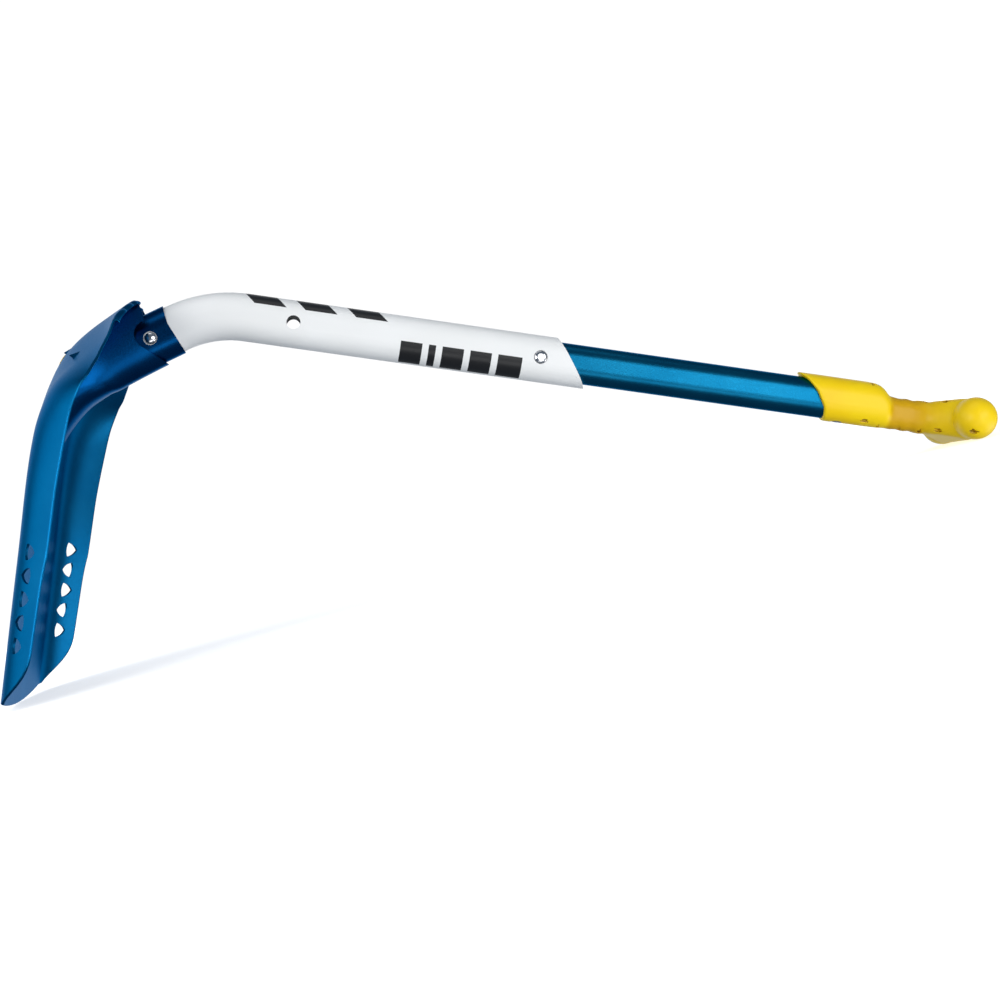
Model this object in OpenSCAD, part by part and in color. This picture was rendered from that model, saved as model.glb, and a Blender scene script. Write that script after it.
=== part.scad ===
// Avalanche shovel with a bent, telescoping shaft, standing with its blade turned to the hoe position.
// Everything is drawn in the socket's frame: origin at the centre of the socket's mouth,
// +X along the socket away from the blade, +Z away from the scoop. The module resting() sets it down.

/* [Blade] */
// Sheet thickness of the blade
blade_t = 1.8; // [1.2:0.1:2.6]
// Angle of the blade's flat part to the socket
blade_angle = 57.2; // [54:0.1:60]
// Length of the flat part above the cutting edge
blade_flat = 100.7; // [90:0.1:110]
// Depth that the wings stand out near the cutting edge, per square of the distance past the fold
wing_rise = 0.018; // [0.012:0.001:0.024]
// Half-width at which the wings start to rise
wing_from = 78; // [70:1:84]
// Bow of the cutting edge
edge_bow = 6.4; // [2:0.1:10]
// Length of the rounded lower corners
corner_len = 38; // [30:1:60]
// Width that the rounded lower corners take off each side
corner_drop = 23; // [15:1:35]
// How far the shoulders sit below the middle of the top rim
rim_bow = 15; // [8:1:20]
// Height of the waves along the top rim
rim_wave = 2.2; // [0:0.1:3]
// Radius of the lip that is turned over along the top rim
lip_r = 3.5; // [2.5:0.1:5]
// Width of the rounded triangular holes
hole_w = 10.3; // [8:0.1:12]
// Distance between the holes of one row
hole_pitch = 14.8; // [13:0.1:17]

/* [Socket] */
// Length of the socket sleeve
sleeve_len = 58; // [50:1:60]
// Wall of the socket sleeve
sleeve_t = 1; // [0.8:0.1:1.2]
// Gap around the shaft in the socket
sleeve_gap = 0.3; // [0.2:0.05:0.4]
// Depth of the notch in each side of the socket's mouth
notch = 2.2; // [0:0.1:4]
// Sheet thickness of the neck bracket
neck_t = 1.2; // [0.8:0.1:1.6]

/* [Shaft] */
// Height of the lower shaft's oval
lower_h = 33; // [32:0.1:34]
// Width of the lower shaft's oval
lower_w = 26; // [25:0.1:27]
// Wall of the lower shaft
lower_t = 1.6; // [1.4:0.1:1.8]
// Length of lower shaft inside the socket
insert_len = 52; // [40:1:54]
// Bend of the lower shaft
bend = 34; // [30:0.5:36]
// Radius of the bend at the shaft's axis
bend_r = 82; // [60:1:90]
// Distance from the socket's mouth to the corner of the bend
corner_x = 27; // [26:1:30]
// Height of the upper shaft's oval
upper_h = 27.4; // [27:0.1:27.6]
// Width of the upper shaft's oval
upper_w = 20.4; // [20:0.1:20.6]
// Wall of the upper shaft
upper_t = 1.3; // [1.1:0.1:1.5]
// How far the upper shaft slides in, which is the distance between its two lock holes
travel = 172; // [160:1:174]

/* [Locks] */
// Diameter of the lock holes
lock_hole_d = 9.5; // [9:0.1:10]
// Diameter of the blade's lock button
blade_button_d = 7.5; // [7:0.1:8]
// Diameter of the length lock's button
length_button_d = 8.9; // [8:0.1:9]
// Distance of the blade's lock button from the socket's mouth
blade_lock_x = 17; // [15:0.5:19]
// Distance of the length lock from the bend's corner
length_lock_x = 229.5; // [228:0.5:231]

/* [Grip] */
// Distance of the crossbar from the bend's corner
bar_x = 537; // [534:1:540]
// Half-length of the crossbar
bar_half = 49; // [44:1:58]
// Radius of the crossbar's ends
bar_end_r = 14.8; // [13:0.1:15]
// Radius of the crossbar's middle
bar_mid_r = 12.6; // [11:0.1:13]

/* [Resting place] */
// Rise of the socket when the shovel stands on its blade and its grip
lean = 11.37; // [10:0.01:13]
// Socket mouth's place from the middle of the footprint
mouth_x = -184.4; // [-200:0.1:-170]
// Socket mouth's height above the ground
mouth_z = 218.14; // [200:0.01:230]

/* [Hidden] */
$fn = 48;

blue = [0.05, 0.33, 0.62];
white = [0.93, 0.93, 0.92];
yellow = [0.98, 0.82, 0.05];
black = [0.12, 0.12, 0.13];
steel = [0.75, 0.76, 0.78];

bend_start = bend_r * tan(bend / 2);
tip = [-206.9, -180.2];
crown = [-17, 29];
crown_pull = [-96.6, 21];
flat_dir = [cos(blade_angle), sin(blade_angle)];
fold_at = tip + blade_flat * flat_dir;
fold_pull = fold_at + 120 * flat_dir;

flat_rows = 14;
arc_rows = 30;
lip_rows = 3;
side_cols = 15;
neck_rows = 24;
neck_cols = 14;

// Half-width of the blank, before its lower corners are rounded, by station
half_widths = [[0, 108.8], [0.6, 109.8], [1, 112], [1.29, 119], [1.42, 120.5], [1.55, 117.5], [1.76, 107],
    [1.88, 88], [1.95, 75], [2.1, 66]];
// Depth of the arch at 110 mm from the middle, and the radius of its top, by station
arch_depths = [[0, 2], [1, 2], [1.15, 3], [1.29, 7.5], [1.38, 13], [1.49, 20], [1.6, 27], [1.72, 31],
    [1.8, 31], [1.88, 27.5], [1.95, 18], [2.1, 11]];
arch_tops = [[0, 150], [1.3, 150], [1.5, 50], [1.6, 30], [1.72, 18], [1.88, 9], [2.1, 7]];
// Share of the full wing rise, by station
wing_shares = [[0, 1], [1, 1], [1.15, 0.86], [1.29, 0.65], [1.38, 0.46], [1.49, 0.32], [1.6, 0.2],
    [1.72, 0.08], [1.8, 0.05], [2.1, 0]];
// Depth of the neck's ridge below the back of the blade, and the neck's half-width, by station
ridge_depths = [[1.15, 4.2], [1.22, 8], [1.29, 14.1], [1.41, 25.8], [1.51, 35.1], [1.64, 41.3], [1.8, 45.1],
    [2, 49.1], [2.1, 50.5]];
neck_widths = [[1.15, 5], [1.22, 14], [1.29, 20], [1.41, 25], [1.51, 25], [1.64, 22], [1.8, 19.8], [2.1, 19.2]];

// ---- Helpers ----

// Value at x of a smooth curve through the points of a table
function part_of(t, x) = max([for (i = [0 : len(t) - 2]) x >= t[i][0] ? i : 0]);
function rise(t, a, b) = (t[b][1] - t[a][1]) / (t[b][0] - t[a][0]);
function slope_at(t, i) = rise(t, max(i - 1, 0), min(i + 1, len(t) - 1));
function hermite(a, b, ma, mb, h, f) =
    a * (1 + f * f * (2 * f - 3)) + ma * h * f * (1 - f) * (1 - f) + b * f * f * (3 - 2 * f)
    - mb * h * f * f * (1 - f);
function smooth(t, x) =
    let (i = part_of(t, x), h = t[i + 1][0] - t[i][0])
    hermite(t[i][1], t[i + 1][1], slope_at(t, i), slope_at(t, i + 1), h, (x - t[i][0]) / h);

function unit(v) = v / norm(v);

// Point of the blade's back on its middle line, at station k: 0 to 1 flat, 1 to 2 curved
function bezier(t) =
    pow(1 - t, 3) * fold_at + 3 * pow(1 - t, 2) * t * fold_pull + 3 * (1 - t) * t * t * crown_pull
    + pow(t, 3) * crown;
function spine(k) = k < 1 ? tip + k * blade_flat * flat_dir : bezier(k - 1);
function spine_dir(k) = unit(spine(k + 0.001) - spine(k - 0.001));
function inward(k) = let (d = spine_dir(k)) [d[1], -d[0]];

// Half-width of the blade and depth of its back, at station k and distance y from the middle
function corner_cut(k) = pow(max(0, 1 - max(0, k * blade_flat - edge_bow) / corner_len), 2.6);
function half_width(k) = smooth(half_widths, k) - corner_drop * corner_cut(k);
function wing_depth(k, y) = wing_rise * smooth(wing_shares, k) * pow(max(0, y - wing_from), 2);
function arch(y, top) = sqrt(y * y + top * top) - top;
function back_depth(k, y) =
    let (top = smooth(arch_tops, k))
    smooth(arch_depths, k) * arch(y, top) / arch(110, top) + wing_depth(k, abs(y));
function at(k, y, depth) =
    let (p = spine(k), n = inward(k))
    [p[0] + depth * n[0], y, p[1] + depth * n[1]];

// First and last station of column u, where u runs from -1 to 1 across the blade
function first_station(u) = edge_bow / blade_flat * u * u;
function last_station(u) = 2.005 - (rim_bow * u * u + rim_wave * (1 - cos(u * 1260))) / 240;
function station(u, v) = first_station(u) + (last_station(u) - first_station(u)) * v / 2;
function back_point(u, v) =
    let (k = station(u, v), y = u * half_width(k))
    at(k, y, back_depth(k, y));
function lip_point(u, j) =
    let (k = last_station(u), y = u * half_width(k), a = 90 * j / lip_rows)
    let (p = at(k, y, back_depth(k, y) + lip_r * (1 - cos(a))), d = spine_dir(k))
    [p[0] + lip_r * sin(a) * d[0], p[1], p[2] + lip_r * sin(a) * d[1]];

// Solid sheet of thickness t on one side of a grid of points
function cell(g, i, j) = g[min(max(i, 0), len(g) - 1)][min(max(j, 0), len(g[0]) - 1)];
function grid_normal(g, i, j) =
    unit(cross(cell(g, i + 1, j) - cell(g, i - 1, j), cell(g, i, j + 1) - cell(g, i, j - 1)));
module sheet(g, t) {
    n = len(g);
    m = len(g[0]);
    face = [for (i = [0 : n - 1], j = [0 : m - 1]) g[i][j]];
    other = [for (i = [0 : n - 1], j = [0 : m - 1]) g[i][j] + t * grid_normal(g, i, j)];
    rim = concat(
        [for (j = [0 : m - 1]) j],
        [for (i = [1 : n - 1]) i * m + m - 1],
        [for (j = [m - 2 : -1 : 0]) (n - 1) * m + j],
        [for (i = [n - 2 : -1 : 1]) i * m]);
    quads = [for (i = [0 : n - 2], j = [0 : m - 2]) let (a = i * m + j) [a, a + m, a + m + 1, a + 1]];
    tops = [for (q = quads) [q[3] + n * m, q[2] + n * m, q[1] + n * m, q[0] + n * m]];
    walls = [for (e = [0 : len(rim) - 1])
        let (a = rim[e], b = rim[(e + 1) % len(rim)])
        [a, b, b + n * m, a + n * m]];
    polyhedron(concat(face, other), split(concat(quads, tops, walls)));
}
function split(faces) = [for (f = faces, h = [0, 1]) h == 0 ? [f[0], f[2], f[1]] : [f[0], f[3], f[2]]];

// Oval of height h and width w: two half circles joined by straight sides
module oval(h, w) {
    for (s = [-1, 1]) translate([0, s * (h - w) / 2]) circle(d = w);
    square([w, h - w], center = true);
}
// Bar of that section along +X, from x0 to x1
module bar(h, w, x0, x1) {
    translate([x0, 0, 0]) rotate([90, 0, 90]) linear_extrude(x1 - x0) oval(h, w);
}
// Frame of the shaft beyond the bend: origin at the bend's corner, +X down the shaft
module beyond_bend() {
    translate([corner_x, 0, 0]) rotate([0, bend, 0]) children();
}
// Bar that follows the lower shaft's bend, from x0 in the socket to x1 beyond the bend.
// The straight stretches reach a little into the bend, which is thinner by a hair, so all three join.
module bent_bar(h, w, x0, x1) {
    joined = 0.6;
    hair = 0.1;
    bar(h, w, x0, corner_x - bend_start + joined);
    translate([corner_x - bend_start, 0, -bend_r]) rotate([90, 0, 0]) rotate([0, 0, 90 - bend])
        rotate_extrude(angle = bend, $fn = 96) translate([bend_r, 0]) rotate(90) oval(h - hair, w - hair);
    beyond_bend() bar(h, w, bend_start - joined, x1);
}
// Slab that cuts the shaft's mouth at a slant, from x_top at the top to x_bottom at the underside
module slant(x_top, x_bottom, h) {
    rotate([90, 0, 0]) linear_extrude(2 * h, center = true)
        polygon([[x_top - h * (x_bottom - x_top) / lower_h, lower_h / 2 + h], [x_top + 3 * h, lower_h / 2 + h],
            [x_top + 3 * h, -lower_h / 2 - h], [x_bottom + h * (x_bottom - x_top) / lower_h, -lower_h / 2 - h]]);
}
// Pin or hole across the shaft, between y0 and y1
module cross_pin(d, x, y0, y1) {
    translate([x, y0, 0]) rotate([-90, 0, 0]) cylinder(d = d, h = y1 - y0);
}
module resting() {
    translate([mouth_x, 0, mouth_z]) rotate([0, -lean, 0]) children();
}

// ---- Blade and socket ----

// Flattened curved triangle with its point towards +Y or -Y
module curved_triangle(way) {
    reach = hole_w / sqrt(3);
    intersection_for (a = [90, 210, 330])
        translate(way * reach * [cos(a), sin(a)]) circle(r = hole_w, $fn = 64);
}
module wing_holes() {
    wing_slope = atan(2 * wing_rise * (100 - wing_from));
    for (i = [0 : 4], side = [0, 1]) {
        y = 100.4 - 0.13 * i * i;
        translate([tip[0], 0, tip[1]]) rotate([0, -blade_angle, 0]) mirror([0, side, 0])
            translate([104 - hole_pitch * i, y, -back_depth(0.5, y)]) rotate([-wing_slope, 0, 0])
                linear_extrude(14, center = true) curved_triangle(i % 2 == 0 ? 1 : -1);
    }
}
// Small wedge pressed outwards, blunt at its lower end
module wedge(y) {
    low = 1.67;
    high = 1.75;
    sunk = 0.7;
    polyhedron([
        at(high, y, back_depth(high, y) + sunk),
        at(low, y - 6, back_depth(low, y - 6) + sunk),
        at(low, y + 6, back_depth(low, y + 6) + sunk),
        at(low, y, back_depth(low, y) - 3)
    ], [[0, 2, 1], [0, 1, 3], [0, 3, 2], [1, 2, 3]]);
}
module blade() {
    rows = concat([for (i = [0 : flat_rows - 1]) i / flat_rows], [for (i = [0 : arc_rows]) 1 + i / arc_rows]);
    cols = [for (j = [-side_cols : side_cols]) sign(j) * pow(abs(j) / side_cols, 0.8)];
    grid = concat(
        [for (v = rows) [for (u = cols) back_point(u, v)]],
        [for (j = [1 : lip_rows]) [for (u = cols) lip_point(u, j)]]);
    color(blue) difference() {
        union() {
            sheet(grid, -blade_t);
            for (y = [-56, 0, 56]) wedge(y);
        }
        wing_holes();
    }
}

function neck_point(k, a) =
    let (w = smooth(neck_widths, k), seat = back_depth(k, w) + blade_t + neck_t + 0.35)
    at(k, sign(a) * w * pow(abs(sin(a)), 0.8), seat + (smooth(ridge_depths, k) - seat) * pow(abs(cos(a)), 0.8));
module neck_bracket() {
    grid = [for (i = [0 : neck_rows])
        let (k = 1.15 + 0.93 * i / neck_rows)
        [for (j = [-neck_cols : neck_cols]) neck_point(k, 89.9 * j / neck_cols)]];
    color(blue) difference() {
        sheet(grid, neck_t);
        rotate([90, 0, 0]) linear_extrude(60, center = true) {
            translate([-blade_lock_x, 2.5]) circle(r = 9.4);
            polygon([[-13.9, -30], [-13.9, -20], [-24.6, -3], [-17, 5], [-13.5, 19], [-13.5, 40], [30, 40],
                [30, -30]]);
        }
    }
}
module shaft_socket() {
    h = lower_h + 2 * sleeve_gap;
    w = lower_w + 2 * sleeve_gap;
    color(blue) difference() {
        bar(h + 2 * sleeve_t, w + 2 * sleeve_t, -sleeve_len, 0);
        bar(h, w, -sleeve_len - 1, 1);
        cross_pin(lock_hole_d, -blade_lock_x, -lower_w, lower_w);
        rotate([90, 0, 0]) linear_extrude(2 * lower_w, center = true)
            polygon([[0.1, lower_h], [0, h / 2 + sleeve_t], [-notch, 4], [0, -h / 2 - sleeve_t], [0.1, -lower_h]]);
    }
}
module blade_badge() {
    k = 1.635;
    p = at(k, 0, 0);
    color(yellow) translate(p) rotate([0, -atan2(spine_dir(k)[1], spine_dir(k)[0]), 0])
        cylinder(d = 9, h = 0.8);
}

// ---- Lower shaft ----

module lower_shaft() {
    color(white) difference() {
        bent_bar(lower_h, lower_w, -insert_len, 275);
        bent_bar(lower_h - 2 * lower_t, lower_w - 2 * lower_t, -insert_len - 1, 276);
        cross_pin(blade_button_d + 0.6, -blade_lock_x, -lower_w, 0);
        beyond_bend() {
            slant(240.4, 263.3, 20);
            cross_pin(lock_hole_d, length_lock_x - travel, -lower_w, lower_w);
            cross_pin(lock_hole_d, length_lock_x, -lower_w, lower_w);
        }
    }
}
module shaft_end_plug() {
    color(black) {
        bar(lower_h, lower_w, -insert_len - 2, -insert_len);
        difference() {
            bar(lower_h - 2 * lower_t, lower_w - 2 * lower_t, -insert_len, -insert_len + 10);
            bar(lower_h - 2 * lower_t - 4, lower_w - 2 * lower_t - 4, -insert_len, -insert_len + 11);
        }
    }
}
module guide_bushing() {
    color(black) beyond_bend() difference() {
        bar(lower_h - 2 * lower_t, lower_w - 2 * lower_t, 207, 275);
        bar(upper_h + 0.5, upper_w + 0.5, 206, 276);
        slant(240.4, 263.3, 20);
        cross_pin(lock_hole_d, length_lock_x, -lower_w, lower_w);
    }
}
// Snap button: domed head, straight shank, and a flange that stays inside the tube.
// seat is the depth of the tube's inner wall and reach is how far out the dome stands.
module snap_button(d, x, seat, reach, dimple) {
    dome_r = d / 2;
    color(steel) translate([x, -seat, 0]) rotate([90, 0, 0]) difference() {
        rotate_extrude() polygon(concat(
            [[0, -1], [d / 2 + 1.2, -1], [d / 2 + 1.2, -0.4], [d / 2, -0.4], [d / 2, reach - 1.6]],
            [for (a = [15 : 15 : 90]) [dome_r * cos(a), reach - 1.6 + 1.6 * sin(a)]]));
        if (dimple) translate([0, 0, reach - 0.9]) cylinder(d = d * 0.55, h = 2);
    }
}
module blade_lock_button() {
    snap_button(blade_button_d, -blade_lock_x, lower_w / 2 - lower_t, 4.4, false);
}
// Leaf spring: a strip bent into a narrow V, its outer arm behind the button
module leaf_spring(x, seat, far, length) {
    t = 0.7;
    near_y = -seat + 1.02;
    color(steel) translate([x, 0, 0]) linear_extrude(9, center = true) polygon([
        [7, near_y], [7, near_y + t], [-length + 6, far - 4], [-length + 5.2, far - 2.2],
        [-length + 7, far - t], [6, far - t], [6, far], [-length + 6, far],
        [-length + 3.8, far - 2], [-length + 4.6, far - 4.6], [-9, near_y]
    ]);
}
module blade_lock_spring() {
    leaf_spring(-blade_lock_x, lower_w / 2 - lower_t, lower_w / 2 - lower_t - 0.1, 24);
}

// ---- Upper shaft ----

module upper_shaft() {
    color(blue) beyond_bend() difference() {
        bar(upper_h, upper_w, 206, 470);
        bar(upper_h - 2 * upper_t, upper_w - 2 * upper_t, 205, 471);
        cross_pin(length_button_d + 0.4, length_lock_x, -upper_w, 0);
        translate([447.5, 0, -upper_h]) cylinder(d = 5, h = upper_h);
    }
}
module shaft_glide() {
    color(black) beyond_bend() difference() {
        union() {
            bar(lower_h - 2 * lower_t - 0.6, lower_w - 2 * lower_t - 0.6, 199, 206);
            bar(upper_h - 2 * upper_t, upper_w - 2 * upper_t, 206, 212);
        }
        bar(upper_h - 2 * upper_t - 4, upper_w - 2 * upper_t - 4, 198, 213);
    }
}
module length_lock_button() {
    beyond_bend() snap_button(length_button_d, length_lock_x, upper_w / 2 - upper_t, 5.4, true);
}
module length_lock_spring() {
    beyond_bend() leaf_spring(length_lock_x, upper_w / 2 - upper_t, upper_w / 2 - upper_t - 0.1, 17);
}

// ---- Grip ----

module grip_body() {
    collar_z = 0.7;
    neck_z = -3.2;
    bar_z = -2.2;
    color(yellow) beyond_bend() difference() {
        union() {
            difference() {
                translate([0, 0, collar_z]) bar(32.2, 26.6, 412, 466);
                rotate([90, 0, 0]) linear_extrude(60, center = true)
                    polygon([[400, 30], [408, 22], [413, 18], [421.5, 11.7], [428.7, 3.6], [434.5, -6.7], [437, -17],
                        [438, -30], [400, -30]]);
            }
            hull() {
                translate([0, 0, collar_z]) bar(32.2, 26.6, 465, 466);
                translate([0, 0, collar_z]) bar(30.4, 26, 472, 473);
                translate([0, 0, neck_z]) bar(23, 23, 484, 485);
            }
            hull() {
                translate([0, 0, neck_z]) bar(23, 23, 484, 485);
                translate([0, 0, neck_z]) bar(23, 25, 509, 510);
            }
            hull() {
                translate([0, 0, neck_z]) bar(23, 25, 508, 510);
                translate([bar_x - 6, -37, bar_z - bar_mid_r]) cube([6, 74, 2 * bar_mid_r]);
            }
            translate([bar_x, 0, bar_z]) rotate([90, 0, 0]) rotate_extrude() {
                difference() {
                    union() {
                        translate([0, -bar_half + bar_end_r]) square([bar_mid_r, 2 * (bar_half - bar_end_r)]);
                        for (s = [-1, 1]) translate([0, s * (bar_half - bar_end_r)]) circle(r = bar_end_r);
                    }
                    translate([-50, -100]) square([50, 200]);
                }
            }
        }
        bar(upper_h + 0.1, upper_w + 0.1, 400, 470.1);
        translate([447.5, 0, -30]) cylinder(d = 5, h = 30);
        translate([447.5, 0, -30]) cylinder(d = 9, h = 15.4);
    }
}
module grip_core() {
    color(black) beyond_bend() difference() {
        bar(upper_h - 2 * upper_t, upper_w - 2 * upper_t, 435, 470);
        translate([447.5, 0, -30]) cylinder(d = 5, h = 30);
    }
}
module grip_rivet() {
    color(steel) beyond_bend() translate([447.5, 0, 0]) rotate_extrude()
        polygon([[0, -15.6], [3.2, -15.4], [4.2, -14.6], [2.5, -14.6], [2.5, -1], [0, -1]]);
}

resting() blade();
resting() neck_bracket();
resting() shaft_socket();
resting() blade_badge();
resting() lower_shaft();
resting() shaft_end_plug();
resting() guide_bushing();
resting() blade_lock_button();
resting() blade_lock_spring();
resting() upper_shaft();
resting() shaft_glide();
resting() length_lock_button();
resting() length_lock_spring();
resting() grip_body();
resting() grip_core();
resting() grip_rivet();
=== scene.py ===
import math

import bmesh
import bpy
import numpy as np
from mathutils import Matrix, Vector


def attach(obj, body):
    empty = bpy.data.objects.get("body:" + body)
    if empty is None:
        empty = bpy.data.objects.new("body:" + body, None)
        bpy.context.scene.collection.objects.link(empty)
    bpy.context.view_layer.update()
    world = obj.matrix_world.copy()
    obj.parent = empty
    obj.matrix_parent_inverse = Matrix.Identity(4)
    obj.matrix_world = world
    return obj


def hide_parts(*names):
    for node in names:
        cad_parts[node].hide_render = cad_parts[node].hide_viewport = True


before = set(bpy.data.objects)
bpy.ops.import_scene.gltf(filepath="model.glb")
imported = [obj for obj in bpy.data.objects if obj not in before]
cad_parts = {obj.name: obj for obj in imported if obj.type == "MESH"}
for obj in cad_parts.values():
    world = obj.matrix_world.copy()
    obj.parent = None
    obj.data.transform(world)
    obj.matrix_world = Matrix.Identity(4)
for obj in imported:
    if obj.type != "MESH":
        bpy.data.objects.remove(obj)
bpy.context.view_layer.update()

MM = 0.001

# ---- Camera ----

TARGET = Vector((0.00175, 0.0, 0.04673))
DISTANCE = 1.2661
AZIMUTH, ELEVATION, ROLL = -6.456, 0.609, -15.157
LENS, SENSOR_WIDTH = 65.27, 36.0
CLIP_NEAR, CLIP_FAR = 0.05, 60.0


def make_camera():
    data = bpy.data.cameras.new("camera")
    data.lens = LENS
    data.sensor_width = SENSOR_WIDTH
    data.clip_start, data.clip_end = CLIP_NEAR, CLIP_FAR
    cam = bpy.data.objects.new("camera", data)
    bpy.context.scene.collection.objects.link(cam)
    turn = (
        Matrix.Rotation(math.radians(AZIMUTH), 4, "Z")
        @ Matrix.Rotation(math.radians(90 - ELEVATION), 4, "X")
        @ Matrix.Rotation(math.radians(ROLL), 4, "Z")
    )
    back = turn.to_3x3() @ Vector((0, 0, 1))
    cam.matrix_world = Matrix.Translation(TARGET + DISTANCE * back) @ turn
    bpy.context.scene.camera = cam


make_camera()

# ---- Frames: the socket's frame and the shaft's frame beyond the bend, as in part.scad ----
# Lengths below are in mm and angles in degrees unless a comment says otherwise.

LEAN, BEND = 11.37, 34.0
MOUTH_X, MOUTH_Z = -184.4, 218.14
CORNER_X = 27.0

to_row = (
    Matrix.Scale(MM, 4)
    @ Matrix.Translation((MOUTH_X, 0, MOUTH_Z))
    @ Matrix.Rotation(math.radians(-LEAN), 4, "Y")
)
shaft_to_row = (
    to_row
    @ Matrix.Translation((CORNER_X, 0, 0))
    @ Matrix.Rotation(math.radians(BEND), 4, "Y")
)
upright = Matrix.Rotation(math.radians(90), 4, "X")

# ---- Blade shape, as in part.scad but on a finer grid ----
# Station k runs from 0 at the cutting edge over 1 at the fold to about 2 at the crown.

BLADE_T, BLADE_ANGLE, BLADE_FLAT = 1.8, 57.2, 100.7
WING_RISE, WING_FROM = 0.018, 78.0
EDGE_BOW, CORNER_LEN, CORNER_DROP, CORNER_POWER = 6.4, 38.0, 23.0, 2.6
DEPTH_AT = 110  # distance from the middle at which ARCH_DEPTHS holds
RIM_STATION, CURVE_LEN = 2.005, 240
RIM_BOW, RIM_WAVE, RIM_WAVE_TURN, LIP_R = 15.0, 2.2, 1260, 3.5
BLADE_ROWS, BLADE_COLS, LIP_ROWS, COLUMN_POWER = 160, 80, 6, 0.9
HOLE_W, HOLE_PITCH, HOLE_COUNT, HOLE_REACH, ARC_STEPS = 10.3, 14.8, 5, 7, 12
HOLE_TOP, HOLE_ROW_Y, HOLE_ROW_BOW, HOLE_SLOPE_Y = 104, 100.4, 0.13, 100
WEDGE_YS, WEDGE_LOW, WEDGE_HIGH = (-56, 0, 56), 1.67, 1.75
WEDGE_HALF, WEDGE_RISE, WEDGE_SUNK, WEDGE_ROUND = 6, 3, 0.9, 0.25
NECK_T, NECK_GAP, NECK_SQUARENESS = 1.2, 0.35, 0.8
NECK_FROM, NECK_SPAN, NECK_SWEEP, NECK_ROWS, NECK_COLS = 1.15, 0.93, 89.9, 90, 40
SCALLOP_X, SCALLOP_Z, SCALLOP_R = -17, 2.5, 9.4
TIP = np.array((-206.9, -180.2))
CROWN = np.array((-17.0, 29.0))
CROWN_PULL = np.array((-96.6, 21.0))
FOLD_REACH = 120
FLAT_DIR = np.array(
    (math.cos(math.radians(BLADE_ANGLE)), math.sin(math.radians(BLADE_ANGLE)))
)
FOLD_AT = TIP + BLADE_FLAT * FLAT_DIR
FOLD_PULL = FOLD_AT + FOLD_REACH * FLAT_DIR

# Tables of (station, value)
HALF_WIDTHS = [(0, 108.8), (0.6, 109.8), (1, 112), (1.29, 119), (1.42, 120.5), (1.55, 117.5),
               (1.76, 107), (1.88, 88), (1.95, 75), (2.1, 66)]
ARCH_DEPTHS = [(0, 2), (1, 2), (1.15, 3), (1.29, 7.5), (1.38, 13), (1.49, 20), (1.6, 27),
               (1.72, 31), (1.8, 31), (1.88, 27.5), (1.95, 18), (2.1, 11)]
ARCH_TOPS = [(0, 150), (1.3, 150), (1.5, 50), (1.6, 30), (1.72, 18), (1.88, 9), (2.1, 7)]
WING_SHARES = [(0, 1), (1, 1), (1.15, 0.86), (1.29, 0.65), (1.38, 0.46), (1.49, 0.32),
               (1.6, 0.2), (1.72, 0.08), (1.8, 0.05), (2.1, 0)]
RIDGE_DEPTHS = [(1.15, 4.2), (1.22, 8), (1.29, 14.1), (1.41, 25.8), (1.51, 35.1), (1.64, 41.3),
                (1.8, 45.1), (2, 49.1), (2.1, 50.5)]
NECK_WIDTHS = [(1.15, 5), (1.22, 14), (1.29, 20), (1.41, 25), (1.51, 25), (1.64, 22),
               (1.8, 19.8), (2.1, 19.2)]
# Side view of the bracket's slanted end, as (x, z); what lies inside is cut away
NECK_END = [(-13.9, -30), (-13.9, -20), (-24.6, -3), (-17, 5), (-13.5, 19), (-13.5, 40),
            (30, 40), (30, -30)]


def smooth(table, x):
    """Value at x of a smooth curve through the points of a table."""
    n = len(table)
    i = max([j for j in range(n - 1) if x >= table[j][0]], default=0)

    def rise(a, b):
        return (table[b][1] - table[a][1]) / (table[b][0] - table[a][0])

    def slope(j):
        return rise(max(j - 1, 0), min(j + 1, n - 1))

    h = table[i + 1][0] - table[i][0]
    f = (x - table[i][0]) / h
    a, b, ma, mb = table[i][1], table[i + 1][1], slope(i), slope(i + 1)
    return (a * (1 + f * f * (2 * f - 3)) + ma * h * f * (1 - f) ** 2
            + b * f * f * (3 - 2 * f) - mb * h * f * f * (1 - f))


def spine(k):
    if k < 1:
        return TIP + k * BLADE_FLAT * FLAT_DIR
    t = k - 1
    return ((1 - t) ** 3 * FOLD_AT + 3 * (1 - t) ** 2 * t * FOLD_PULL
            + 3 * (1 - t) * t * t * CROWN_PULL + t ** 3 * CROWN)


def spine_dir(k):
    d = spine(k + 0.001) - spine(k - 0.001)
    return d / np.linalg.norm(d)


def half_width(k):
    cut = max(0.0, 1 - max(0.0, k * BLADE_FLAT - EDGE_BOW) / CORNER_LEN) ** CORNER_POWER
    return smooth(HALF_WIDTHS, k) - CORNER_DROP * cut


def arch(y, top):
    return math.sqrt(y * y + top * top) - top


def back_depth(k, y):
    top = smooth(ARCH_TOPS, k)
    wing = WING_RISE * smooth(WING_SHARES, k) * max(0.0, abs(y) - WING_FROM) ** 2
    return smooth(ARCH_DEPTHS, k) * arch(y, top) / arch(DEPTH_AT, top) + wing


def at(k, y, depth):
    """Point at station k, y from the middle and depth in from the spine's line."""
    p, d = spine(k), spine_dir(k)
    return np.array((p[0] + depth * d[1], y, p[1] - depth * d[0]))


def last_station(u):
    """Station of the top rim at share u of the half width."""
    wave = RIM_WAVE * (1 - math.cos(math.radians(u * RIM_WAVE_TURN)))
    return RIM_STATION - (RIM_BOW * u * u + wave) / CURVE_LEN


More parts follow.
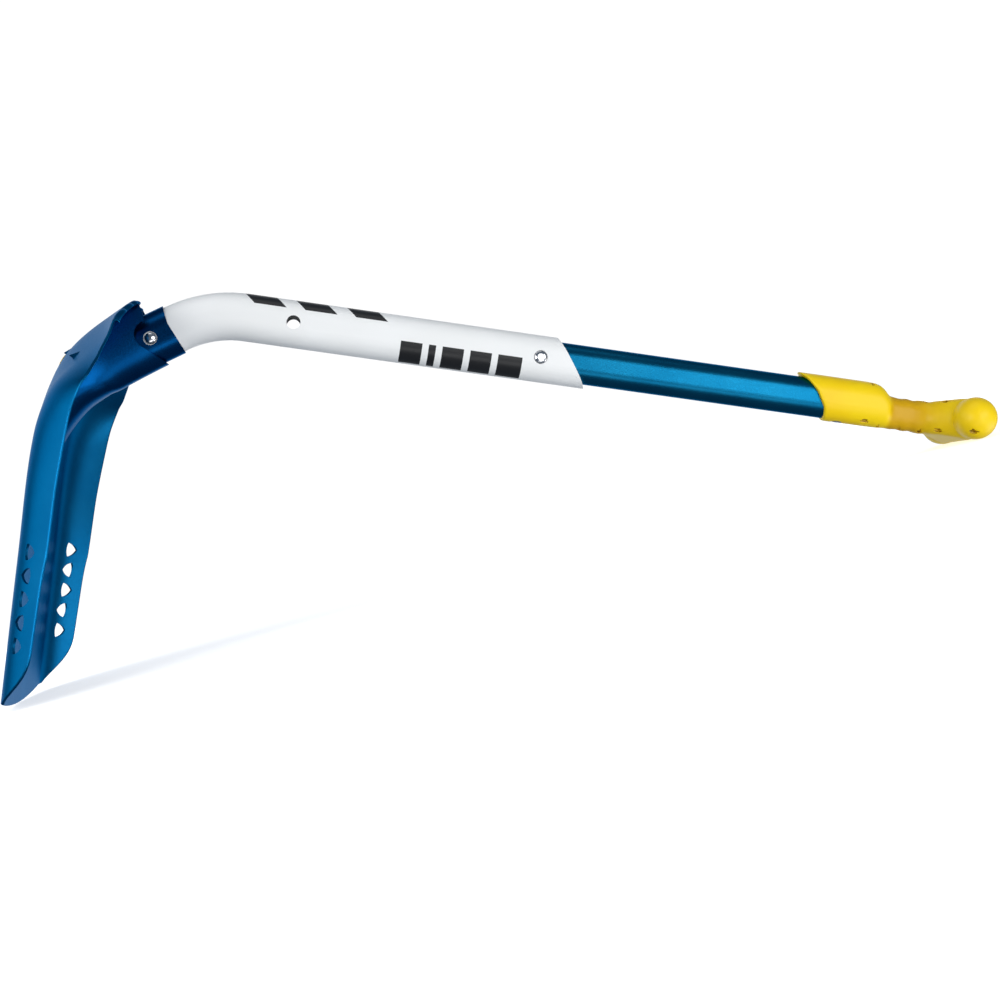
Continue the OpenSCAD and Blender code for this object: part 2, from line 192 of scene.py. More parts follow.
def blade_grid(rows, cols, lip_rows):
    us = [math.copysign(abs(j / cols) ** COLUMN_POWER, j) for j in range(-cols, cols + 1)]
    grid = []
    for i in range(rows + 1):
        line = []
        for u in us:
            first, last = EDGE_BOW / BLADE_FLAT * u * u, last_station(u)
            k = first + (last - first) * i / rows
            y = u * half_width(k)
            line.append(at(k, y, back_depth(k, y)))
        grid.append(line)
    for j in range(1, lip_rows + 1):
        a = math.radians(90 * j / lip_rows)
        line = []
        for u in us:
            k = last_station(u)
            y = u * half_width(k)
            p = at(k, y, back_depth(k, y) + LIP_R * (1 - math.cos(a)))
            d = spine_dir(k)
            line.append(p + LIP_R * math.sin(a) * np.array((d[0], 0, d[1])))
        grid.append(line)
    return np.array(grid)


def unit_vectors(values):
    """An array of vectors, x, y and z on its last axis, each scaled to length 1."""
    return values / np.maximum(np.linalg.norm(values, axis=-1, keepdims=True), 1e-12)


def sheet_mesh(name, grid, thickness):
    """Closed sheet on one side of a grid of points, with a half-round edge all the way round."""
    n, m = grid.shape[:2]
    normal = unit_vectors(np.cross(np.gradient(grid, axis=0), np.gradient(grid, axis=1)))
    offset = thickness * normal
    rim = ([(0, j) for j in range(m)] + [(i, m - 1) for i in range(1, n)]
           + [(n - 1, j) for j in range(m - 2, -1, -1)] + [(i, 0) for i in range(n - 2, 0, -1)])
    half = abs(thickness) / 2
    out = {}
    for i, j in rim:
        o = np.zeros(3)
        if i in (0, n - 1):
            o += grid[i, j] - grid[1 if i == 0 else n - 2, j]
        if j in (0, m - 1):
            o += grid[i, j] - grid[i, 1 if j == 0 else m - 2]
        across = normal[i, j]
        o -= across * (o @ across)
        out[i, j] = o / max(np.linalg.norm(o), 1e-9)
    near = grid.copy()
    for (i, j), o in out.items():
        near[i, j] = grid[i, j] - half * o
    far = near + offset
    verts = [tuple(p) for p in near.reshape(-1, 3)] + [tuple(p) for p in far.reshape(-1, 3)]
    faces = []
    for i in range(n - 1):
        for j in range(m - 1):
            a = i * m + j
            faces.append((a, a + 1, a + m + 1, a + m))
            faces.append((a + n * m, a + m + n * m, a + m + 1 + n * m, a + 1 + n * m))
    loops = [[i * m + j for i, j in rim]]
    for step in (1, 2, 3):
        a = math.radians(45 * step)
        ring = []
        for i, j in rim:
            mid = (near[i, j] + far[i, j]) / 2
            p = mid - offset[i, j] / 2 * math.cos(a) + half * math.sin(a) * out[i, j]
            ring.append(len(verts))
            verts.append(tuple(p))
        loops.append(ring)
    loops.append([i * m + j + n * m for i, j in rim])
    size = len(rim)
    for a, b in zip(loops, loops[1:]):
        for e in range(size):
            f = (e + 1) % size
            faces.append((a[f], a[e], b[e], b[f]))
    mesh = bpy.data.meshes.new(name)
    mesh.from_pydata(verts, [], faces)
    mesh.update()
    return mesh


def link(name, mesh, matrix=None):
    obj = bpy.data.objects.new(name, mesh)
    bpy.context.scene.collection.objects.link(obj)
    if matrix is not None:
        mesh.transform(matrix)
    fix_normals(mesh)
    return obj


def fix_normals(mesh):
    bm = bmesh.new()
    bm.from_mesh(mesh)
    bmesh.ops.recalc_face_normals(bm, faces=bm.faces)
    bm.to_mesh(mesh)
    bm.free()


def prism(name, outline, depth, matrix):
    """Closed prism of a flat outline in XY, depth long each way along Z."""
    bm = bmesh.new()
    low = [bm.verts.new((x, y, -depth)) for x, y in outline]
    high = [bm.verts.new((x, y, depth)) for x, y in outline]
    count = len(outline)
    bm.faces.new(low)
    bm.faces.new(high)
    for i in range(count):
        j = (i + 1) % count
        bm.faces.new((low[i], low[j], high[j], high[i]))
    mesh = bpy.data.meshes.new(name)
    bm.to_mesh(mesh)
    bm.free()
    return link(name, mesh, matrix)


def apply_modifiers(obj):
    deps = bpy.context.evaluated_depsgraph_get()
    mesh = bpy.data.meshes.new_from_object(obj.evaluated_get(deps))
    old = obj.data
    obj.modifiers.clear()
    obj.data = mesh
    bpy.data.meshes.remove(old)


def boolean(obj, other, operation):
    mod = obj.modifiers.new("cut", "BOOLEAN")
    mod.operation, mod.solver, mod.object = operation, "MANIFOLD", other
    bpy.context.view_layer.update()
    apply_modifiers(obj)
    mesh = other.data
    bpy.data.objects.remove(other)
    bpy.data.meshes.remove(mesh)


def shade(obj, angle=35.0):
    obj.data.shade_smooth()
    obj.data.set_sharp_from_angle(angle=math.radians(angle))


def circle(x, y, r, count):
    turns = np.linspace(0, 2 * math.pi, count, endpoint=False)
    return [(x + r * math.cos(t), y + r * math.sin(t)) for t in turns]


def curved_triangle(way):
    """Outline of a wing hole, a triangle with bulging sides, way 1 or -1 for its direction."""
    reach = HOLE_W / math.sqrt(3)
    corners = [
        np.array((math.cos(math.radians(a)), math.sin(math.radians(a)))) * way * reach
        for a in (90, 210, 330)
    ]
    points = []
    for i in range(3):
        c, a, b = corners[i], corners[(i + 1) % 3], corners[(i + 2) % 3]
        start = math.atan2(*(a - c)[::-1])
        end = math.atan2(*(b - c)[::-1])
        sweep = (end - start + math.pi) % (2 * math.pi) - math.pi
        for step in range(ARC_STEPS):
            t = start + sweep * step / ARC_STEPS
            points.append((c[0] + HOLE_W * math.cos(t), c[1] + HOLE_W * math.sin(t)))
    return points


def wing_hole_matrix(i, side):
    y = HOLE_ROW_Y - HOLE_ROW_BOW * i * i
    slope = math.degrees(math.atan(2 * WING_RISE * (HOLE_SLOPE_Y - WING_FROM)))
    return (
        to_row
        @ Matrix.Translation((TIP[0], 0, TIP[1]))
        @ Matrix.Rotation(math.radians(-BLADE_ANGLE), 4, "Y")
        @ Matrix.Diagonal((1, side, 1, 1))
        @ Matrix.Translation((HOLE_TOP - HOLE_PITCH * i, y, -back_depth(0.5, y)))
        @ Matrix.Rotation(math.radians(-slope), 4, "X")
    )


def wedge_mesh(y):
    """Small wedge pressed outwards through the back, blunt at its lower end."""

    def on_back(k, y, sunk):
        return at(k, y, back_depth(k, y) + sunk)

    top = on_back(WEDGE_HIGH, y, WEDGE_SUNK)
    left = on_back(WEDGE_LOW, y - WEDGE_HALF, WEDGE_SUNK)
    right = on_back(WEDGE_LOW, y + WEDGE_HALF, WEDGE_SUNK)
    peak = on_back(WEDGE_LOW, y, -WEDGE_RISE)
    bm = bmesh.new()
    vs = [bm.verts.new(p) for p in (top, left, right, peak)]
    for f in ((0, 2, 1), (0, 1, 3), (0, 3, 2), (1, 2, 3)):
        bm.faces.new([vs[i] for i in f])
    bmesh.ops.bevel(bm, geom=list(bm.edges), offset=WEDGE_ROUND, segments=2, affect="EDGES")
    mesh = bpy.data.meshes.new("wedge")
    bm.to_mesh(mesh)
    bm.free()
    return link("wedge", mesh, to_row)


def make_blade():
    grid = blade_grid(BLADE_ROWS, BLADE_COLS, LIP_ROWS)
    obj = link("blade_shell", sheet_mesh("blade_shell", grid, -BLADE_T), to_row)
    for y in WEDGE_YS:
        boolean(obj, wedge_mesh(y), "UNION")
    for i in range(HOLE_COUNT):
        outline = curved_triangle(1 if i % 2 == 0 else -1)
        for side in (1, -1):
            tool = prism("hole", outline, HOLE_REACH, wing_hole_matrix(i, side))
            boolean(obj, tool, "DIFFERENCE")
    shade(obj, 40)
    return obj


def neck_point(k, a):
    """Point on the bracket at station k and turn a, from its ridge at 0 down to its feet."""
    w = smooth(NECK_WIDTHS, k)
    seat = back_depth(k, w) + BLADE_T + NECK_T + NECK_GAP
    s, c = abs(math.sin(a)) ** NECK_SQUARENESS, abs(math.cos(a)) ** NECK_SQUARENESS
    return at(k, math.copysign(w * s, a), seat + (smooth(RIDGE_DEPTHS, k) - seat) * c)


def make_neck_bracket():
    rows, cols = NECK_ROWS, NECK_COLS
    turns = [math.radians(NECK_SWEEP * j / cols) for j in range(-cols, cols + 1)]
    stations = [NECK_FROM + NECK_SPAN * i / rows for i in range(rows + 1)]
    grid = np.array([[neck_point(k, turn) for turn in turns] for k in stations])
    obj = link("neck_bracket_shell", sheet_mesh("neck_bracket_shell", grid, NECK_T), to_row)
    ring = circle(SCALLOP_X, SCALLOP_Z, SCALLOP_R, 64)
    boolean(obj, prism("scallop", ring, 30, to_row @ upright), "DIFFERENCE")
    boolean(obj, prism("mouth", NECK_END, 30.5, to_row @ upright), "DIFFERENCE")
    shade(obj, 40)
    return obj


# ---- Grip, in the shaft's frame beyond the bend ----

BAR_X, BAR_HALF, BAR_END_R, BAR_MID_R = 537.0, 49.0, 14.8, 12.6
BAR_SWELL_FROM, BAR_SWELL_LEN, BAR_SWELL_POWER = 8, 22, 1.5
GROOVE_Y, GROOVE_LEN, GROOVE_DEPTH = 22, 5, 0.5
BAR_Z, NECK_Z, COLLAR_Z = -2.2, -3.2, 0.7
UPPER_H, UPPER_W, BORE_GAP, BORE_FROM, BORE_END = 27.4, 20.4, 0.1, 390, 470.1
VOXEL, SOFTEN_STEPS = 0.55, 24
ROUND_STEPS = 96
RIVET_X, RIVET_SEAT_R, RIVET_HOLE_R = 447.5, 4.5, 2.5
RIB_GAP_XS = (426, 431, 436, 441)
# Sections of the collar, the neck and the flare into the crossbar: x, z, height, width
GRIP_SECTIONS = [
    (400, COLLAR_Z, 31.9, 26.4), (430, COLLAR_Z, 32.2, 26.6), (466, COLLAR_Z, 32.0, 26.6),
    (472, 0.6, 31.6, 26.4), (475.5, 0.2, 30.6, 26.0), (478, -0.5, 29.0, 25.6),
    (480, -1.3, 27.0, 25.2), (481.5, -2.1, 25.2, 24.4), (483, -2.7, 23.9, 22.0),
    (484.5, -3.0, 23.5, 19.6), (487, NECK_Z, 23.4, 18.4), (491, NECK_Z, 22.2, 18),
    (496.5, NECK_Z, 23.6, 18), (501, NECK_Z, 22.0, 18.6), (505, NECK_Z, 23.6, 20),
    (509, NECK_Z, 24.0, 23), (512.5, NECK_Z, 22.4, 28), (516, -2.9, 24.0, 35),
    (520, -2.6, 24.8, 45), (525, -2.4, 26.4, 57), (530, BAR_Z, 28.0, 67),
    (535, BAR_Z, 29.2, 73), (539, BAR_Z, 29.4, 74),
]
# Side view of the collar's slanted mouth, as (x, z); what lies inside is cut away
COLLAR_MOUTH = [(395, 40), (404, 26), (408.5, 21.5), (413, 18), (421.5, 11.7), (428.7, 3.6),
                (434.5, -6.7), (437, -17), (438, -40), (395, -40)]
# Pockets on both sides: x, y, z and half sizes
POCKETS = [
    (465.5, 8.3, -12.6, (2.9, 2.4, 1.5)), (477, 5.0, -14.6, (1.0, 4.0, 1.4)),
    (493, 5.0, -14.3, (1.2, 4.5, 1.3)), (507.5, 6.0, -13.8, (1.5, 5.0, 1.6)),
    (517, 15.0, -12.8, (3.0, 3.2, 1.7)), (533.5, 43.0, -12.4, (3.2, 3.0, 1.5)),
    (527, 29.0, -15.4, (1.0, 5.0, 1.6)), (469, 6.3, 15.2, (1.8, 2.8, 1.5)),
    (509.5, 6.0, 8.4, (1.4, 5.0, 1.5)), (520, 15.0, 8.9, (2.6, 3.2, 1.1)),
]


def oval_points(h, w, count=ROUND_STEPS):
    """Outline of an oval, height h along Z and width w along Y: half circles and flat sides."""
    r, s = min(h, w) / 2, abs(h - w) / 2
    points = []
    for i in range(count):
        t = 2 * math.pi * (i + 0.5) / count
        y, z = r * math.cos(t), r * math.sin(t)
        points.append((y, z + math.copysign(s, z)) if h > w else (y + math.copysign(s, y), z))
    return points


def loft(name, sections):
    """Closed loft along X through sections (x, z, height, width)."""
    bm = bmesh.new()
    rings = []
    for x, z, h, w in sections:
        rings.append([bm.verts.new((x, y, z + pz)) for y, pz in oval_points(h, w)])
    for a, b in zip(rings, rings[1:]):
        for i in range(len(a)):
            j = (i + 1) % len(a)
            bm.faces.new((a[i], a[j], b[j], b[i]))
    bm.faces.new(rings[0][::-1])
    bm.faces.new(rings[-1])
    mesh = bpy.data.meshes.new(name)
    bm.to_mesh(mesh)
    bm.free()
    return link(name, mesh)


def crossbar_radius(y):
    """Bar that swells to its round ends, with a shallow finger groove on each side."""
    a = abs(y)
    swell = min(1.0, max(0.0, (a - BAR_SWELL_FROM) / BAR_SWELL_LEN)) ** BAR_SWELL_POWER
    r = BAR_MID_R + (BAR_END_R - BAR_MID_R) * swell
    r -= GROOVE_DEPTH * math.exp(-((a - GROOVE_Y) / GROOVE_LEN) ** 2)
    end = BAR_HALF - BAR_END_R
    if a > end:
        r = math.sqrt(max(0.0, BAR_END_R ** 2 - (a - end) ** 2))
    return r


def crossbar(name):
    bm = bmesh.new()
    count = ROUND_STEPS
    ys = [BAR_HALF * math.sin(math.radians(a)) for a in np.linspace(-90, 90, 121)]
    rings = []
    for y in ys[1:-1]:
        r = crossbar_radius(y)
        turns = [2 * math.pi * i / count for i in range(count)]
        rings.append([
            bm.verts.new((BAR_X + r * math.cos(t), y, BAR_Z + r * math.sin(t))) for t in turns
        ])
    for a, b in zip(rings, rings[1:]):
        for i in range(count):
            j = (i + 1) % count
            bm.faces.new((a[i], a[j], b[j], b[i]))
    for ring, y in ((rings[0], ys[0]), (rings[-1], ys[-1])):
        pole = bm.verts.new((BAR_X, y, BAR_Z))
        for i in range(count):
            bm.faces.new((ring[i], ring[(i + 1) % count], pole))
    mesh = bpy.data.meshes.new(name)
    bm.to_mesh(mesh)
    bm.free()
    return link(name, mesh)


def pill(name, centre, half):
    """Round-cornered block that cuts a pocket, its half-sizes along x, y and z."""
    bm = bmesh.new()
    bmesh.ops.create_cube(bm, size=2)
    for v in bm.verts:
        v.co = Vector((v.co.x * half[0], v.co.y * half[1], v.co.z * half[2]))
    round_by = min(half) * 0.7
    bmesh.ops.bevel(bm, geom=list(bm.edges), offset=round_by, segments=4, affect="EDGES")
    mesh = bpy.data.meshes.new(name)
    bm.to_mesh(mesh)
    bm.free()
    return link(name, mesh, Matrix.Translation(centre))


def make_grip():
    obj = loft("grip_shell", GRIP_SECTIONS)
    boolean(obj, crossbar("crossbar"), "UNION")
    boolean(obj, prism("mouth", COLLAR_MOUTH, 30, upright), "DIFFERENCE")
    remesh = obj.modifiers.new("remesh", "REMESH")
    remesh.mode, remesh.voxel_size = "VOXEL", VOXEL
    soften = obj.modifiers.new("soften", "SMOOTH")
    soften.factor, soften.iterations = 0.5, SOFTEN_STEPS
    apply_modifiers(obj)
    bore = [(x, 0, UPPER_H + BORE_GAP, UPPER_W + BORE_GAP) for x in (BORE_FROM, BORE_END)]
    boolean(obj, loft("bore", bore), "DIFFERENCE")
    for x, y, z, size in POCKETS:
        for side in (-1, 1):
            boolean(obj, pill("pocket", (x, side * y, z), size), "DIFFERENCE")
    for x in RIB_GAP_XS:
        boolean(obj, pill("rib_gap", (x, 0, 17.0), (0.9, 6.0, 0.75)), "DIFFERENCE")
    for r, depth, z, count in ((RIVET_SEAT_R, 7.7, -22.3, 48), (RIVET_HOLE_R, 10, -20, 32)):
        place = Matrix.Translation((0, 0, z))
        boolean(obj, prism("rivet_cut", circle(RIVET_X, 0, r, count), depth, place), "DIFFERENCE")
    obj.data.transform(shaft_to_row)
    fix_normals(obj.data)
    shade(obj, 50)
    return obj


# ---- Materials ----


def new_material(name):
    mat = bpy.data.materials.new(name)
    mat.use_nodes = True
    nodes = mat.node_tree.nodes
    nodes.clear()
    out = nodes.new("ShaderNodeOutputMaterial")
    bsdf = nodes.new("ShaderNodeBsdfPrincipled")
    mat.node_tree.links.new(bsdf.outputs["BSDF"], out.inputs["Surface"])
    return mat, bsdf


class Net:
    """Short ways to add the nodes that the materials share."""

    def __init__(self, mat):
        self.tree = mat.node_tree
        self.coords = self.add("ShaderNodeTexCoord")

    def add(self, kind, **settings):
        node = self.tree.nodes.new(kind)
        for key, value in settings.items():
            setattr(node, key, value)
        return node

    def join(self, a, b):
        self.tree.links.new(a, b)

    def place(self, scale=(1, 1, 1), location=(0, 0, 0), rotation=(0, 0, 0), kind="POINT"):
        node = self.add("ShaderNodeMapping", vector_type=kind)
        node.inputs["Location"].default_value = location
        node.inputs["Rotation"].default_value = rotation
        node.inputs["Scale"].default_value = scale
        self.join(self.coords.outputs["Object"], node.inputs["Vector"])
        return node.outputs["Vector"]

    def noise(self, scale, detail=4.0, rough=0.55, vector=None):
        node = self.add("ShaderNodeTexNoise")
        node.inputs["Scale"].default_value = scale
        node.inputs["Detail"].default_value = detail
        node.inputs["Roughness"].default_value = rough
        self.join(vector or self.coords.outputs["Object"], node.inputs["Vector"])
        return node.outputs["Fac"]

    def spread(self, value, low, high, to_low, to_high):
        """Smooth step from to_low to to_high as value goes from low to high."""
        node = self.add("ShaderNodeMapRange", interpolation_type="SMOOTHSTEP")
        limits = {"From Min": low, "From Max": high, "To Min": to_low, "To Max": to_high}
        for key, number in limits.items():
            node.inputs[key].default_value = number
        self.join(value, node.inputs["Value"])
        return node.outputs["Result"]

    def math(self, operation, a, b):
        node = self.add("ShaderNodeMath", operation=operation)
        for socket, value in zip(node.inputs, (a, b)):
            if isinstance(value, (int, float)):
                socket.default_value = value
            else:
                self.join(value, socket)
        return node.outputs["Value"]

    def mix(self, factor, a, b):
        node = self.add("ShaderNodeMix", data_type="RGBA")
        if isinstance(factor, (int, float)):
            node.inputs["Factor"].default_value = factor
        else:
            self.join(factor, node.inputs["Factor"])
        for socket, value in ((node.inputs[6], a), (node.inputs[7], b)):
            if isinstance(value, tuple):
                socket.default_value = (*value, 1.0)
            else:
                self.join(value, socket)
        return node.outputs[2]

    def bump(self, height, strength, distance):
        node = self.add("ShaderNodeBump")
        node.inputs["Strength"].default_value = strength
        node.inputs["Distance"].default_value = distance
        self.join(height, node.inputs["Height"])
        return node.outputs["Normal"]

    def along_shaft(self):
        """Coordinates of the shaft's frame beyond the bend, in metres."""
        corner = to_row @ Vector((CORNER_X, 0, 0))
        turn = (0, math.radians(BEND - LEAN), 0)
        shaft = self.place(location=tuple(corner), rotation=turn, kind="TEXTURE")
        split = self.add("ShaderNodeSeparateXYZ")
        self.join(shaft, split.inputs["Vector"])
        return [split.outputs[i] for i in range(3)]

    def shaded_waist(self, start, full, until, end):
        """Mask for painted shade: 1 along a stretch of the shaft, fading out at both its ends."""
        q = self.along_shaft()[0]
        fade_in, fade_out = self.spread(q, start, full, 0.0, 1.0), self.spread(q, until, end, 1.0, 0.0)
        return self.math("MULTIPLY", fade_in, fade_out)


EDGE_TINT = (0.38, 0.58, 0.84, 1.0)
# Marks printed on the white tube. Spans along the shaft are in mm, the rest in metres.
INK, INK_SOFT = (0.012, 0.012, 0.013), 0.00012
BLOCK_SPANS = ((132, 147), (151.5, 156.5), (161, 176), (180.5, 195.5), (200, 217))
BLOCK_HEIGHT, BLOCK_SIDE = (-0.0175, -0.0022), (-0.02, -0.0035)
DASH_SPANS = ((40, 62), (75, 97), (110, 132))
DASH_HEIGHT, DASH_SIDE, DASH_SLANT = (0.0095, 0.02), (-0.02, 0.0075), 1.1


def anodised(name, base, light, roughness):
    """Blasted and anodised aluminium: fine grain and faint clouding."""
    mat, bsdf = new_material(name)
    net = Net(mat)
    grain = net.noise(scale=2600, detail=2.0, rough=0.6)
    cloud = net.noise(scale=22, detail=3.0, rough=0.5)
    colour = net.mix(net.spread(cloud, 0.35, 0.68, 0.0, 0.35), base, light)
    colour = net.mix(net.spread(grain, 0.45, 0.75, 0.0, 0.22), colour, light)
    net.join(colour, bsdf.inputs["Base Color"])
    rough = net.spread(grain, 0.3, 0.7, roughness - 0.05, roughness + 0.07)
    net.join(rough, bsdf.inputs["Roughness"])
    net.join(net.bump(grain, strength=0.22, distance=0.00012), bsdf.inputs["Normal"])
    bsdf.inputs["Metallic"].default_value = 1.0
    bsdf.inputs["Specular Tint"].default_value = EDGE_TINT
    return mat


def coated_white():
    """White powder coat with fine orange peel, and plain black bars printed along the tube."""
    mat, bsdf = new_material("white_powder_coat")
    net = Net(mat)
    q, y, p = net.along_shaft()

    def inside(value, low, high):
        rise = net.spread(value, low - INK_SOFT, low + INK_SOFT, 0.0, 1.0)
        fall = net.spread(value, high - INK_SOFT, high + INK_SOFT, 1.0, 0.0)
        return net.math("MULTIPLY", rise, fall)

    def bars(value, spans):
        total = None
        for low, high in spans:
            one = inside(value, low * MM, high * MM)
            total = one if total is None else net.math("MAXIMUM", total, one)
        return total

    side = net.math("MULTIPLY", inside(p, *BLOCK_HEIGHT), inside(y, *BLOCK_SIDE))
    blocks = net.math("MULTIPLY", bars(q, BLOCK_SPANS), side)
    slanted = net.math("ADD", q, net.math("MULTIPLY", p, DASH_SLANT))
    top = net.math("MULTIPLY", inside(p, *DASH_HEIGHT), inside(y, *DASH_SIDE))
    dashes = net.math("MULTIPLY", bars(slanted, DASH_SPANS), top)
    ink = net.math("MAXIMUM", blocks, dashes)
    peel = net.noise(scale=900, detail=2.0, rough=0.5)
    cloud = net.noise(scale=14, detail=2.0, rough=0.5)
    patches = net.spread(cloud, 0.35, 0.65, 0.0, 1.0)
    white = net.mix(patches, (0.92, 0.92, 0.905), (0.89, 0.89, 0.87))
    net.join(net.mix(ink, white, INK), bsdf.inputs["Base Color"])
    net.join(net.spread(ink, 0.0, 1.0, 0.42, 0.36), bsdf.inputs["Roughness"])
    net.join(net.bump(peel, strength=0.10, distance=0.00015), bsdf.inputs["Normal"])
    bsdf.inputs["Specular IOR Level"].default_value = 0.4
    return mat


def moulded(name, base, light, hollow_shade_colour, roughness, shaded_waist=None, waist_shade_colour=None):
    """Moulded plastic with a fine spark-eroded texture, and painted shade that darkens its hollows.

    The waist arguments give where along the shaft painted shade turns the plastic to its darker waist
    colour: start, full, until, end.
    """
    mat, bsdf = new_material(name)
    net = Net(mat)
    grain = net.noise(scale=1500, detail=3.0, rough=0.6)
    cloud = net.noise(scale=30, detail=3.0, rough=0.5)
    colour = net.mix(net.spread(cloud, 0.35, 0.68, 0.0, 1.0), base, light)
    geometry = net.add("ShaderNodeNewGeometry")
    # Painted shade: the colour turns darker in hollows, where the surface has low pointiness.
    hollow_shade = net.spread(geometry.outputs["Pointiness"], 0.42, 0.49, 1.0, 0.0)
    colour = net.mix(hollow_shade, colour, hollow_shade_colour)
    # Painted shade: a darker band of colour along the grip's recessed neck.
    if shaded_waist is not None:
        colour = net.mix(net.shaded_waist(*shaded_waist), colour, waist_shade_colour)
    net.join(colour, bsdf.inputs["Base Color"])
    rough = net.spread(grain, 0.3, 0.7, roughness - 0.05, roughness + 0.06)
    net.join(rough, bsdf.inputs["Roughness"])
    net.join(net.bump(grain, strength=0.18, distance=0.00015), bsdf.inputs["Normal"])
    bsdf.inputs["Specular IOR Level"].default_value = 0.3
    return mat


def polished_steel(name, base, roughness):
    """Steel with faint lines drawn along it."""
    mat, bsdf = new_material(name)
    net = Net(mat)
    stretched = net.place(scale=(1, 0.08, 1))
    lines = net.noise(scale=1200, detail=2.0, rough=0.6, vector=stretched)
    darker = tuple(c * 0.75 for c in base)
    net.join(net.mix(net.spread(lines, 0.35, 0.7, 0.0, 0.5), base, darker), bsdf.inputs["Base Color"])
    rough = net.spread(lines, 0.3, 0.7, roughness - 0.04, roughness + 0.08)
    net.join(rough, bsdf.inputs["Roughness"])
    net.join(net.bump(lines, strength=0.05, distance=0.00005), bsdf.inputs["Normal"])
    bsdf.inputs["Metallic"].default_value = 1.0
    return mat


blue_sheet = anodised("anodised_blue_sheet", (0.002, 0.098, 0.245), (0.006, 0.15, 0.33), 0.34)
blue_tube = anodised("anodised_blue_tube", (0.003, 0.105, 0.215), (0.008, 0.16, 0.29), 0.32)
# Painted shade: a darker copy of the blue anodise for the bracket and the socket, standing for the
# shade they sit in.
blue_neck_in_shade = anodised("anodised_blue_neck_painted_shade", (0.0006, 0.042, 0.150), (0.002, 0.07, 0.215), 0.30)
white_coat = coated_white()
# The yellow's darker waist, from 0.481 to 0.521 m along the shaft, is painted shade on the grip's
# recessed neck.
yellow = moulded("yellow_moulded", base=(0.95, 0.63, 0.002), light=(0.97, 0.68, 0.003),
                 hollow_shade_colour=(0.50, 0.27, 0.002), roughness=0.42,
                 shaded_waist=(0.481, 0.486, 0.501, 0.521), waist_shade_colour=(0.66, 0.37, 0.001))
badge_yellow = moulded("badge_yellow", base=(0.88, 0.58, 0.01), light=(0.92, 0.62, 0.015),
                       hollow_shade_colour=(0.6, 0.35, 0.005), roughness=0.35)
black = moulded("black_moulded", base=(0.012, 0.012, 0.013), light=(0.018, 0.018, 0.02),
                hollow_shade_colour=(0.006, 0.006, 0.006), roughness=0.5)
steel = polished_steel("polished_steel", (0.72, 0.72, 0.73), 0.16)
spring_steel = polished_steel("spring_steel", (0.45, 0.45, 0.46), 0.3)


def dress(obj, mat):
    obj.data.materials.clear()
    obj.data.materials.append(mat)


# ---- Pieces ----

for maker, node, body, slot, mat in (
    (make_blade, "blade", "scoop", "anodised_blue", blue_sheet),
    (make_neck_bracket, "neck_bracket", "scoop", "anodised_blue", blue_neck_in_shade),
    (make_grip, "grip_body", "upper_shaft", "yellow_plastic", yellow),
):
    piece = maker()
    dress(piece, mat)
    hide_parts(node)
    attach(piece, body)

# Material of each CAD node that stays, and the width in mm of the bevel on its edges
CAD_LOOKS = {
    "shaft_socket": (blue_neck_in_shade, 0.25),
    "blade_badge": (badge_yellow, 0.2),
    "lower_shaft": (white_coat, 0.25),
    "shaft_end_plug": (black, 0.3),
    "guide_bushing": (black, 0.0),
    "blade_lock_button": (steel, 0.0),
    "blade_lock_spring": (spring_steel, 0.1),
    "upper_shaft": (blue_tube, 0.2),
    "shaft_glide": (black, 0.2),
    "length_lock_button": (steel, 0.0),
    "length_lock_spring": (spring_steel, 0.1),
    "grip_core": (black, 0.0),
    "grip_rivet": (steel, 0.0),
}
for node, (mat, edge) in CAD_LOOKS.items():
    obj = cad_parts[node]
    if len(obj.material_slots) == 0:
        obj.data.materials.append(mat)
    for slot in obj.material_slots:
        slot.material = mat
    if edge:
        mod = obj.modifiers.new("edges", "BEVEL")
        mod.width, mod.segments = edge * MM, 2
        mod.limit_method, mod.angle_limit = "ANGLE", math.radians(50)

# ---- Floor, world and lights, in metres and watts ----

FLOOR_RADIUS, FLOOR_DROP = 25.0, 0.0002
FLOOR_GLOW_FROM, FLOOR_GLOW_TO = (0.6, 0.62), (1.8, 0.95)  # distance and emission strength
SEEN_WORLD, LIT_WORLD, LIT_COLOUR = 1.05, 0.19, (0.62, 0.78, 1.0, 1)
LIGHTS = {  # place, aim, size, power
    "front": ((1.1, -1.8, 0.16), (0.1, 0, 0.12), (1.6, 1.0), 21),
    "fill": ((-1.9, -1.9, 0.7), (0.0, 0, 0.1), (1.3, 1.0), 26),
    "left": ((-1.6, -0.1, 0.85), (-0.25, 0, 0.12), (1.5, 1.3), 9),
    "behind": ((-0.1, 2.2, 0.25), (-0.1, 0, 0.15), (5.0, 3.6), 46),
    "bounce": ((0.9, -0.12, -0.58), (-0.28, 0.1, 0.13), (0.8, 0.5), 3.4),
    "top": ((0.1, -0.6, 2.0), (0.0, 0, 0.1), (2.0, 0.8), 6),
    "below": ((0.3, -1.7, -0.85), (0.1, 0, 0.12), (2.2, 0.6), 9),
}


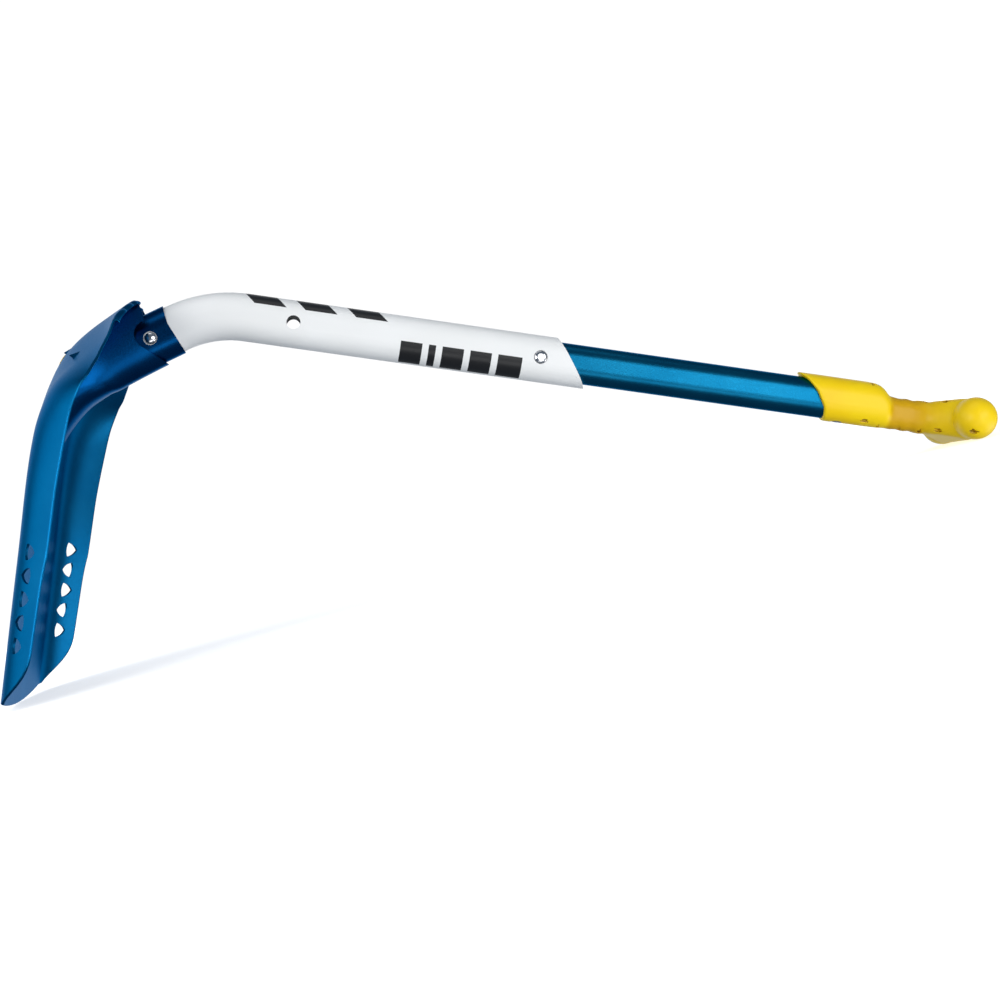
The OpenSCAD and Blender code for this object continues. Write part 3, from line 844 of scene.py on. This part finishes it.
def make_floor():
    bm = bmesh.new()
    bmesh.ops.create_circle(bm, cap_ends=True, segments=96, radius=FLOOR_RADIUS)
    mesh = bpy.data.meshes.new("floor")
    bm.to_mesh(mesh)
    bm.free()
    floor = link("floor", mesh)
    floor.location.z = -FLOOR_DROP
    mat, bsdf = new_material("pale_floor")
    bsdf.inputs["Base Color"].default_value = (0.9, 0.9, 0.9, 1)
    bsdf.inputs["Roughness"].default_value = 0.9
    bsdf.inputs["Emission Color"].default_value = (1, 1, 1, 1)
    net = Net(mat)
    length = net.add("ShaderNodeVectorMath", operation="LENGTH")
    net.join(net.coords.outputs["Object"], length.inputs[0])
    (near, dim), (far, bright) = FLOOR_GLOW_FROM, FLOOR_GLOW_TO
    glow = net.spread(length.outputs["Value"], near, far, dim, bright)
    net.join(glow, bsdf.inputs["Emission Strength"])
    floor.visible_glossy = False
    floor.visible_diffuse = False
    floor.visible_shadow = False
    dress(floor, mat)


def make_world():
    world = bpy.data.worlds.new("studio")
    bpy.context.scene.world = world
    world.use_nodes = True
    tree = world.node_tree
    tree.nodes.clear()
    out = tree.nodes.new("ShaderNodeOutputWorld")
    seen = tree.nodes.new("ShaderNodeBackground")
    seen.inputs["Color"].default_value = (1, 1, 1, 1)
    seen.inputs["Strength"].default_value = SEEN_WORLD
    lit = tree.nodes.new("ShaderNodeBackground")
    lit.inputs["Color"].default_value = LIT_COLOUR
    lit.inputs["Strength"].default_value = LIT_WORLD
    path = tree.nodes.new("ShaderNodeLightPath")
    mix = tree.nodes.new("ShaderNodeMixShader")
    tree.links.new(path.outputs["Is Camera Ray"], mix.inputs[0])
    tree.links.new(lit.outputs[0], mix.inputs[1])
    tree.links.new(seen.outputs[0], mix.inputs[2])
    tree.links.new(mix.outputs[0], out.inputs["Surface"])


def soft_box(name, place, aim, size, power):
    data = bpy.data.lights.new(name, "AREA")
    data.shape = "RECTANGLE"
    data.size, data.size_y = size
    data.energy = power
    light = bpy.data.objects.new(name, data)
    light.visible_camera = False
    bpy.context.scene.collection.objects.link(light)
    light.location = place
    light.rotation_euler = (Vector(aim) - Vector(place)).to_track_quat("-Z", "Y").to_euler()


make_floor()
make_world()
for name, settings in LIGHTS.items():
    soft_box(name, *settings)
bpy.context.scene.view_settings.view_transform = "Standard"
